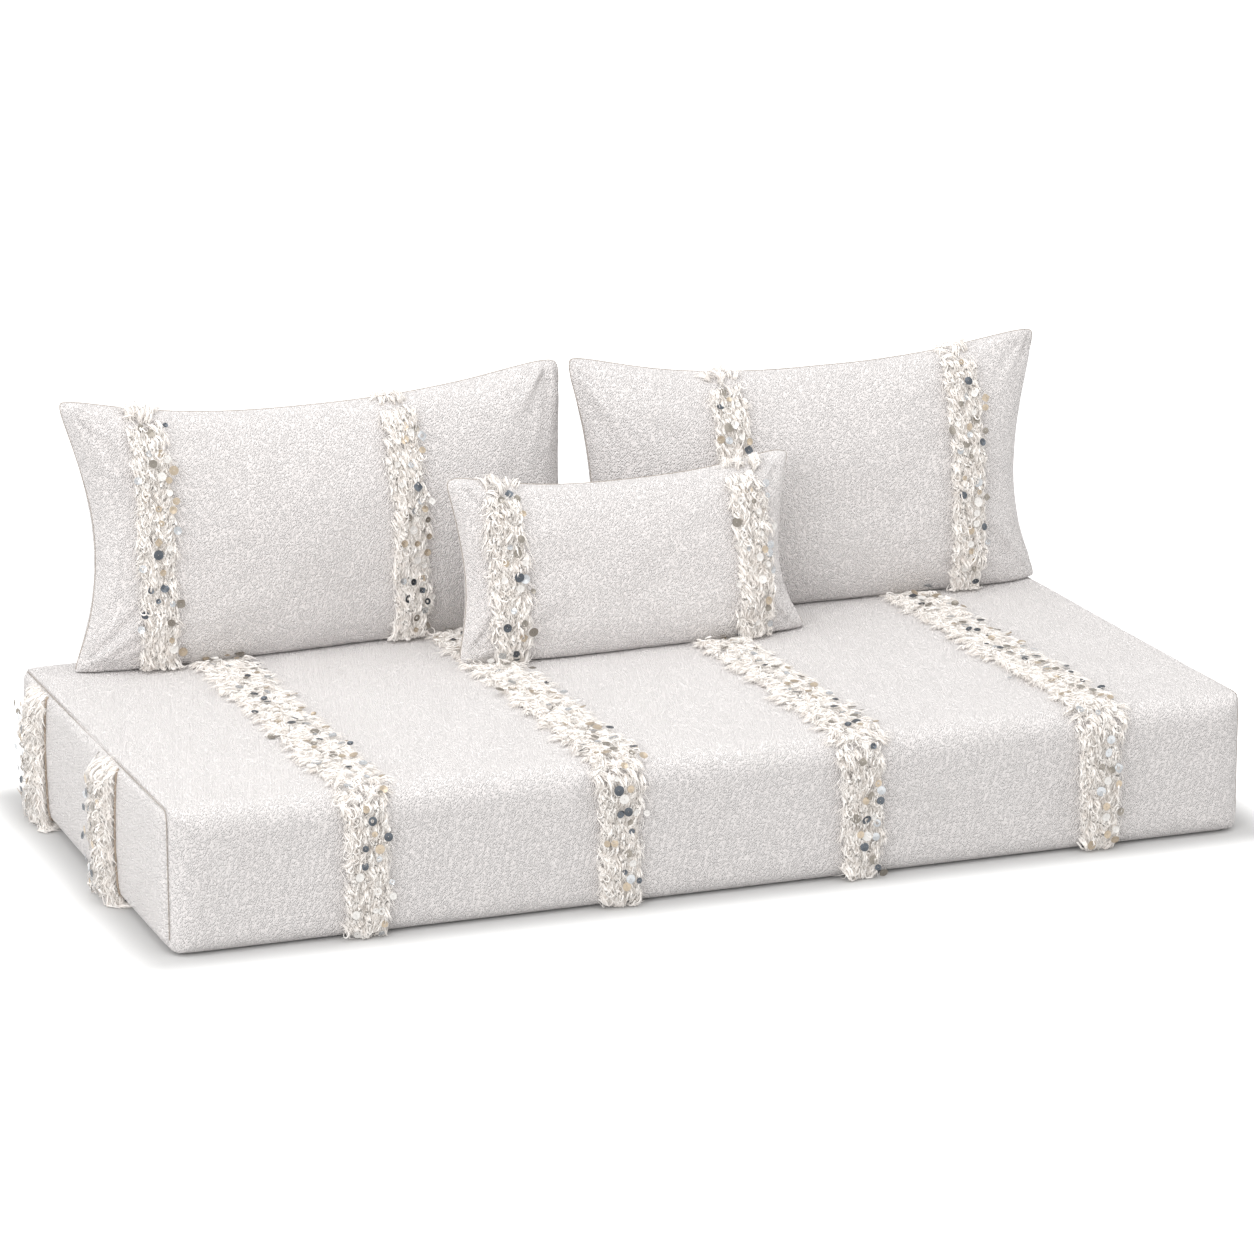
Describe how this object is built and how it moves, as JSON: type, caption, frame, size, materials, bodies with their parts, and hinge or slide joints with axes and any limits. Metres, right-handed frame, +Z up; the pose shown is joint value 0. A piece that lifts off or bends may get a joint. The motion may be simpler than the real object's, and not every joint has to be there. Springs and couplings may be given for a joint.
{
  "type": "majlis floor sofa",
  "caption": "Low floor sofa: a long boxed seat mattress with loose upright back and lumbar cushions, shaggy fringe bands with sequins, and zipped covers.",
  "frame": {"origin": "middle of the seat mattress's flat base, on the floor", "axes": "+X along the seat to the right as seen from the front, +Y to the back where the cushions stand, +Z up"},
  "size_m": [2.064, 1.0768, 0.7494],
  "materials": {
    "boucle_cloth": "matte",
    "base_cloth": "matte",
    "wool_fringe": "matte",
    "wadding_white": "matte",
    "foam_cream": "matte",
    "sequin_metal": "gloss",
    "zip_tape": "matte",
    "zip_coil": "satin",
    "zip_metal": "satin"
  },
  "bodies": {
    "seat": {"end_fringe_left_1": "wool_fringe", "end_fringe_left_2": "wool_fringe", "end_fringe_right_1": "wool_fringe", "end_fringe_right_2": "wool_fringe", "end_sequins_left": "sequin_metal", "end_sequins_right": "sequin_metal", "seat_base_panel": "base_cloth", "seat_cover_wrap": "boucle_cloth", "seat_end_panel_left": "boucle_cloth", "seat_end_panel_right": "boucle_cloth", "seat_foam_core": "foam_cream", "seat_fringe_1": "wool_fringe", "seat_fringe_2": "wool_fringe", "seat_fringe_3": "wool_fringe", "seat_fringe_4": "wool_fringe", "seat_sequins_1": "sequin_metal", "seat_sequins_2": "sequin_metal", "seat_sequins_3": "sequin_metal", "seat_sequins_4": "sequin_metal", "seat_wadding_wrap": "wadding_white", "seat_zip_chain": "zip_coil", "seat_zip_tapes": "zip_tape"},
    "left_cushion": {"left_cushion_cover_back": "boucle_cloth", "left_cushion_cover_front": "boucle_cloth", "left_cushion_filling": "wadding_white", "left_cushion_fringe_1": "wool_fringe", "left_cushion_fringe_2": "wool_fringe", "left_cushion_sequins": "sequin_metal", "left_cushion_zip_chain": "zip_coil", "left_cushion_zip_tapes": "zip_tape"},
    "right_cushion": {"right_cushion_cover_back": "boucle_cloth", "right_cushion_cover_front": "boucle_cloth", "right_cushion_filling": "wadding_white", "right_cushion_fringe_1": "wool_fringe", "right_cushion_fringe_2": "wool_fringe", "right_cushion_sequins": "sequin_metal", "right_cushion_zip_chain": "zip_coil", "right_cushion_zip_tapes": "zip_tape"},
    "lumbar_cushion": {"lumbar_cushion_cover_back": "boucle_cloth", "lumbar_cushion_cover_front": "boucle_cloth", "lumbar_cushion_filling": "wadding_white", "lumbar_cushion_fringe_1": "wool_fringe", "lumbar_cushion_fringe_2": "wool_fringe", "lumbar_cushion_sequins": "sequin_metal", "lumbar_cushion_zip_chain": "zip_coil", "lumbar_cushion_zip_tapes": "zip_tape"},
    "seat_zip_slider": {"seat_zip_slider": "zip_metal"},
    "seat_zip_pull": {"seat_zip_pull": "zip_metal"},
    "left_cushion_zip_slider": {"left_cushion_zip_slider": "zip_metal"},
    "left_cushion_zip_pull": {"left_cushion_zip_pull": "zip_metal"},
    "right_cushion_zip_slider": {"right_cushion_zip_slider": "zip_metal"},
    "right_cushion_zip_pull": {"right_cushion_zip_pull": "zip_metal"},
    "lumbar_cushion_zip_slider": {"lumbar_cushion_zip_slider": "zip_metal"},
    "lumbar_cushion_zip_pull": {"lumbar_cushion_zip_pull": "zip_metal"}
  },
  "joints": [
    {"name": "left_cushion_lift", "type": "slide", "parent": "seat", "child": "left_cushion", "axis": [0, 0, 1], "range_m": [0, 0.55]},
    {"name": "right_cushion_lift", "type": "slide", "parent": "seat", "child": "right_cushion", "axis": [0, 0, 1], "range_m": [0, 0.55]},
    {"name": "lumbar_cushion_lift", "type": "slide", "parent": "seat", "child": "lumbar_cushion", "axis": [0, 0, 1], "range_m": [0, 0.55]},
    {"name": "seat_zip_slide", "type": "slide", "parent": "seat", "child": "seat_zip_slider", "axis": [-1, 0, 0], "range_m": [0, 1.6904]},
    {"name": "seat_zip_pull_swing", "type": "hinge", "parent": "seat_zip_slider", "child": "seat_zip_pull", "pos_m": [0.8452, 0.4979, 0.06], "axis": [0, 0, -1], "range_deg": [0, 170]},
    {"name": "left_cushion_zip_slide", "type": "slide", "parent": "left_cushion", "child": "left_cushion_zip_slider", "axis": [-0.9962, -0.0872, 0], "range_m": [0, 0.4512]},
    {"name": "left_cushion_zip_pull_swing", "type": "hinge", "parent": "left_cushion_zip_slider", "child": "left_cushion_zip_pull", "pos_m": [-0.22234, 0.53354, 0.31331], "axis": [0.0242, -0.2767, -0.9606], "range_deg": [0, 170]},
    {"name": "right_cushion_zip_slide", "type": "slide", "parent": "right_cushion", "child": "right_cushion_zip_slider", "axis": [-1, 0, 0], "range_m": [0, 0.4512]},
    {"name": "right_cushion_zip_pull_swing", "type": "hinge", "parent": "right_cushion_zip_slider", "child": "right_cushion_zip_pull", "pos_m": [0.7456, 0.48819, 0.31331], "axis": [0, -0.2778, -0.9606], "range_deg": [0, 170]},
    {"name": "lumbar_cushion_zip_slide", "type": "slide", "parent": "lumbar_cushion", "child": "lumbar_cushion_zip_slider", "axis": [-0.9994, -0.0349, 0], "range_m": [0, 0.31296]},
    {"name": "lumbar_cushion_zip_pull_swing", "type": "hinge", "parent": "lumbar_cushion_zip_slider", "child": "lumbar_cushion_zip_pull", "pos_m": [0.23412, 0.27533, 0.28832], "axis": [0.0132, -0.3786, -0.9255], "range_deg": [0, 170]}
  ]
}
